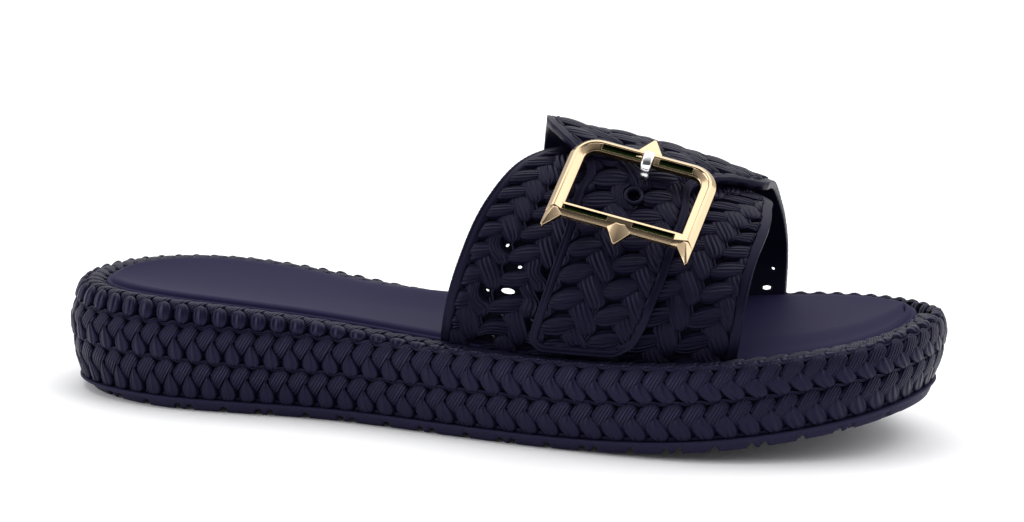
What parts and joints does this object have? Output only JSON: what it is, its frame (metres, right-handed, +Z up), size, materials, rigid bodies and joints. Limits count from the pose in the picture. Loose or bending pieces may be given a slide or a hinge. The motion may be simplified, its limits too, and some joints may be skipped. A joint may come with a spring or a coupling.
{
  "type": "slide sandal",
  "caption": "Backless slide sandal with a thick platform sole moulded like plaited raffia and a crossed woven-look upper held by a rectangular metal buckle.",
  "frame": {"origin": "on the floor, under the middle of the sole's length and width", "axes": "+X to the toe, +Y to the medial side of this right shoe, +Z up"},
  "size_m": [0.2564, 0.0946, 0.0869],
  "materials": {
    "outsole": "dark navy rubber, satin, lightly scuffed tread",
    "platform": "dark navy moulded foam, satin, with raised plaited strands",
    "footbed": "dark navy foam sheet, fine matt grain",
    "upper": "dark navy moulded foam, satin, woven strands outside and smooth inside",
    "buckle_frame": "pale gold plating, polished",
    "buckle_prong": "silver plating, polished"
  },
  "bodies": {
    "root": {"outsole": "outsole", "platform": "platform", "footbed": "footbed", "upper": "upper", "buckle_frame": "buckle_frame", "buckle_prong": "buckle_prong"}
  },
  "joints": []
}
